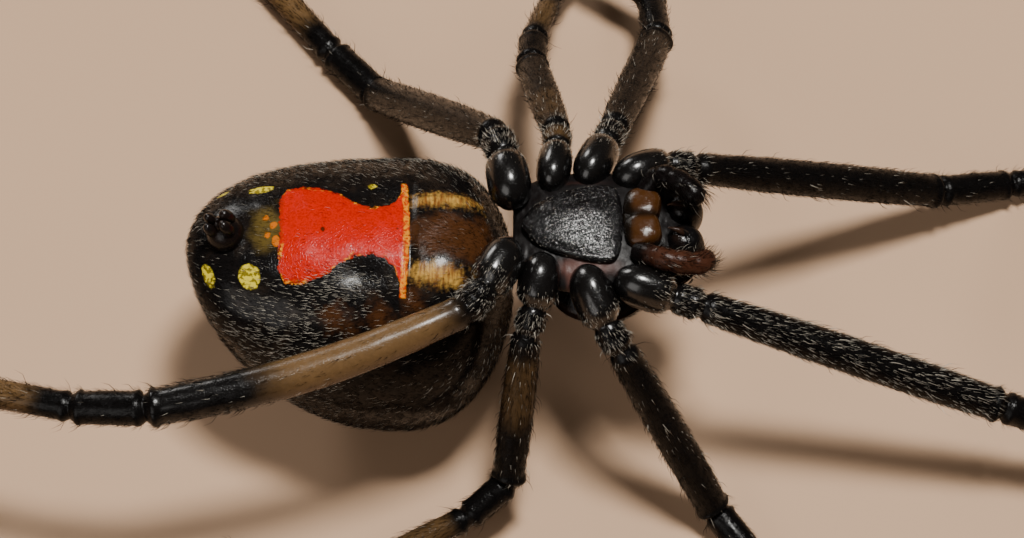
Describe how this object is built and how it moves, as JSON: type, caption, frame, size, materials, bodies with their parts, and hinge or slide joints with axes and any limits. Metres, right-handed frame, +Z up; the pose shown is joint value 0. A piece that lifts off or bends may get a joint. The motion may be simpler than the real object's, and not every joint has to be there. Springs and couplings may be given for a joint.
{
  "type": "black widow spider model",
  "caption": "Life-size still model of a female black widow spider lying belly up, long legs spread, with the red hourglass mark showing.",
  "frame": {"origin": "on the small flat under the back of the abdomen, on which the spider rests", "axes": "+X from the spinnerets towards the head, +Z up through the belly, -Y the spider's own left"},
  "size_m": [0.0542, 0.0344, 0.0077],
  "materials": {
    "black_cuticle": "glossy black cuticle with short hair",
    "brown_cuticle": "glossy dark red-brown cuticle with short hair",
    "abdomen_cuticle": "soft black skin with short hair, brown and cream patches on the belly",
    "red_mark": "bright orange-red, finely speckled, satin",
    "amber_cuticle": "amber-brown, translucent looking, glossy"
  },
  "bodies": {
    "root": {"abdomen": "abdomen_cuticle", "carapace": "black_cuticle", "chelicera_left": "black_cuticle", "chelicera_right": "black_cuticle", "endite_left": "amber_cuticle", "endite_right": "amber_cuticle", "hourglass_mark": "red_mark", "labium": "amber_cuticle", "leg_left_1_coxa": "black_cuticle", "leg_left_1_femur": "black_cuticle", "leg_left_1_foot": "brown_cuticle", "leg_left_1_patella": "black_cuticle", "leg_left_1_tibia": "brown_cuticle", "leg_left_2_coxa": "black_cuticle", "leg_left_2_femur": "black_cuticle", "leg_left_2_foot": "brown_cuticle", "leg_left_2_patella": "black_cuticle", "leg_left_2_tibia": "brown_cuticle", "leg_left_3_coxa": "black_cuticle", "leg_left_3_femur": "black_cuticle", "leg_left_3_foot": "brown_cuticle", "leg_left_3_patella": "black_cuticle", "leg_left_3_tibia": "brown_cuticle", "leg_left_4_coxa": "black_cuticle", "leg_left_4_femur": "black_cuticle", "leg_left_4_foot": "brown_cuticle", "leg_left_4_patella": "black_cuticle", "leg_left_4_tibia": "brown_cuticle", "leg_right_1_coxa": "black_cuticle", "leg_right_1_femur": "black_cuticle", "leg_right_1_foot": "brown_cuticle", "leg_right_1_patella": "black_cuticle", "leg_right_1_tibia": "brown_cuticle", "leg_right_2_coxa": "black_cuticle", "leg_right_2_femur": "black_cuticle", "leg_right_2_foot": "brown_cuticle", "leg_right_2_patella": "black_cuticle", "leg_right_2_tibia": "brown_cuticle", "leg_right_3_coxa": "black_cuticle", "leg_right_3_femur": "black_cuticle", "leg_right_3_foot": "brown_cuticle", "leg_right_3_patella": "black_cuticle", "leg_right_3_tibia": "brown_cuticle", "leg_right_4_coxa": "black_cuticle", "leg_right_4_femur": "black_cuticle", "leg_right_4_foot": "brown_cuticle", "leg_right_4_patella": "black_cuticle", "leg_right_4_tibia": "brown_cuticle", "palp_left": "brown_cuticle", "palp_right": "brown_cuticle", "pedicel": "brown_cuticle", "spinnerets": "abdomen_cuticle", "sternum": "black_cuticle"}
  },
  "joints": []
}
